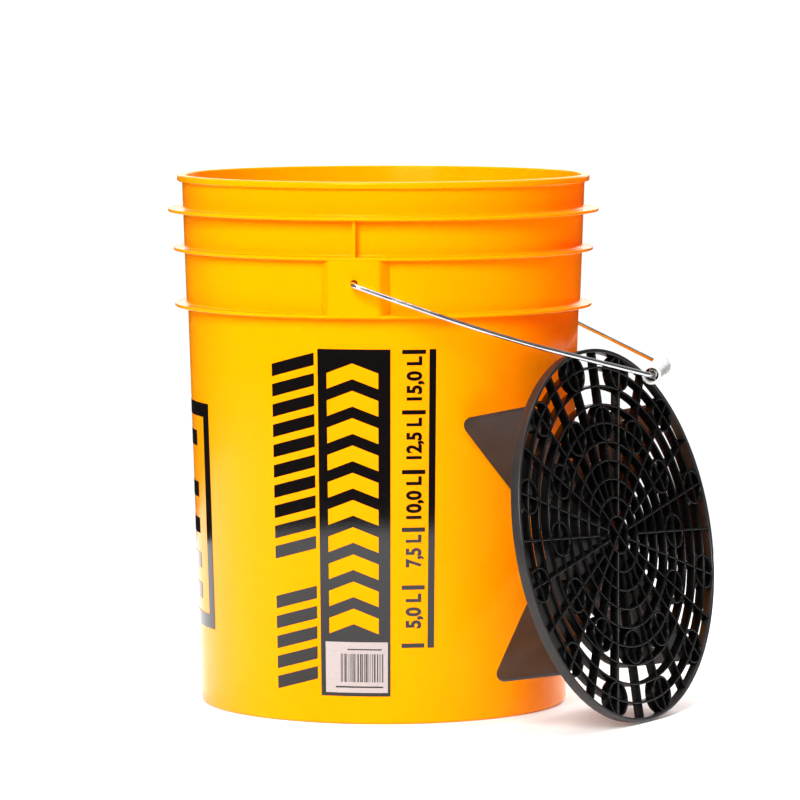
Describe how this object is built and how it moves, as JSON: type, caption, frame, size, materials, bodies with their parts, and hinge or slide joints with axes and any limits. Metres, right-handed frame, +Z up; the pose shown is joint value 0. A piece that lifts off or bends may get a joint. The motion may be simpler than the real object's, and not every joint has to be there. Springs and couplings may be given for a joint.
{
  "type": "wash bucket",
  "caption": "Ringed plastic bucket with a swinging wire bail, a rolling hand grip and a loose round grit guard with radial vanes leaning against its side.",
  "frame": {"origin": "centre of the bucket's foot ring, on the floor", "axes": "+Z up along the bucket's axis; Y through the two ears (the bail's pivot line), -Y to the ear with the printed panel; +X to the side the bail and the guard rest on"},
  "size_m": [0.3926, 0.3694, 0.38],
  "materials": {
    "bucket": "glossy yellow polyethylene with printed black figures",
    "wire": "bright zinc-plated steel wire",
    "grip": "natural white translucent polyethylene",
    "guard": "satin black polypropylene",
    "label": "white paper sticker"
  },
  "bodies": {
    "bucket": {"bucket_shell": "bucket", "product_label": "label"},
    "bail": {"bail_wire": "wire"},
    "grip": {"hand_grip": "grip"},
    "grit_guard": {"guard_grille": "guard", "guard_vanes": "guard"}
  },
  "joints": [
    {"name": "bail_swing", "type": "hinge", "parent": "bucket", "child": "bail", "pos_m": [0, 0, 0.31], "axis": [0, -1, 0], "range_deg": [0, 246]},
    {"name": "grip_roll", "type": "hinge", "parent": "bail", "child": "grip", "pos_m": [0.19729, 0, 0.24013], "axis": [0, 1, 0], "continuous": true},
    {"name": "guard_walk", "type": "hinge", "parent": "bucket", "child": "grit_guard", "pos_m": [0, 0, 0], "axis": [0, 0, 1], "range_deg": [-60, 0]}
  ]
}
